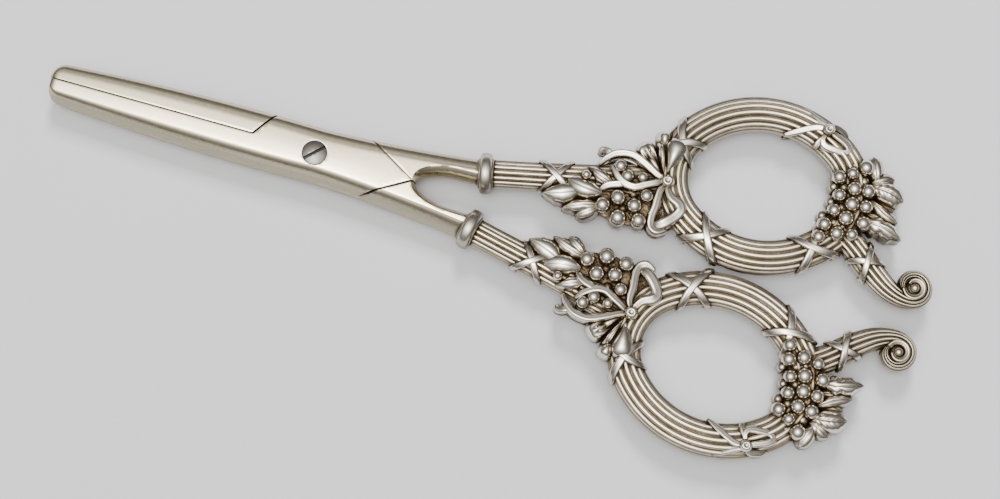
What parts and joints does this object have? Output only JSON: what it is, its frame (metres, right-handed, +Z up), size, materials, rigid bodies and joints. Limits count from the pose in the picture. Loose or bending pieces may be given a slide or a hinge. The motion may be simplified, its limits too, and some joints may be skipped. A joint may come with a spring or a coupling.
{
  "type": "grape shears",
  "caption": "Grape shears with plain half-lapped blades and cast silver handles of tied reeds, ribbon bows, vine leaves and grapes.",
  "frame": {"origin": "on the plane that the shears rest on, in the middle of their closed outline", "axes": "+X from the tips towards the finger loops, +Y towards the upper half's loop, +Z up, along the pivot"},
  "size_m": [0.1778, 0.0726, 0.0082],
  "materials": {
    "blade_plate": "polished silver plate, soft warm reflections",
    "screw_steel": "dull turned steel",
    "rail_silver": "worn silver, dark in the grooves",
    "ribbon_silver": "worn silver, bright on the folds",
    "vine_silver": "oxidised silver, dark between the leaves"
  },
  "bodies": {
    "lower_half": {"lower_blade": "blade_plate", "pivot_screw": "screw_steel", "lower_finger_loop": "rail_silver", "lower_stem": "rail_silver", "lower_scroll": "rail_silver", "lower_collar": "rail_silver", "lower_ribbon_ties": "ribbon_silver", "lower_ribbon_bow": "ribbon_silver", "lower_rail_bow": "ribbon_silver", "lower_stem_grapes": "vine_silver", "lower_grape_cluster": "vine_silver", "lower_stem_leaves": "vine_silver", "lower_vine_leaves": "vine_silver"},
    "upper_half": {"upper_blade": "blade_plate", "upper_finger_loop": "rail_silver", "upper_stem": "rail_silver", "upper_scroll": "rail_silver", "upper_collar": "rail_silver", "upper_ribbon_ties": "ribbon_silver", "upper_ribbon_bow": "ribbon_silver", "upper_rail_bow": "ribbon_silver", "upper_stem_grapes": "vine_silver", "upper_grape_cluster": "vine_silver", "upper_stem_leaves": "vine_silver", "upper_vine_leaves": "vine_silver"}
  },
  "joints": [
    {"name": "pivot", "type": "hinge", "parent": "lower_half", "child": "upper_half", "pos_m": [-0.0342, 0, 0], "axis": [0, 0, 1], "range_deg": [0, 35]}
  ]
}
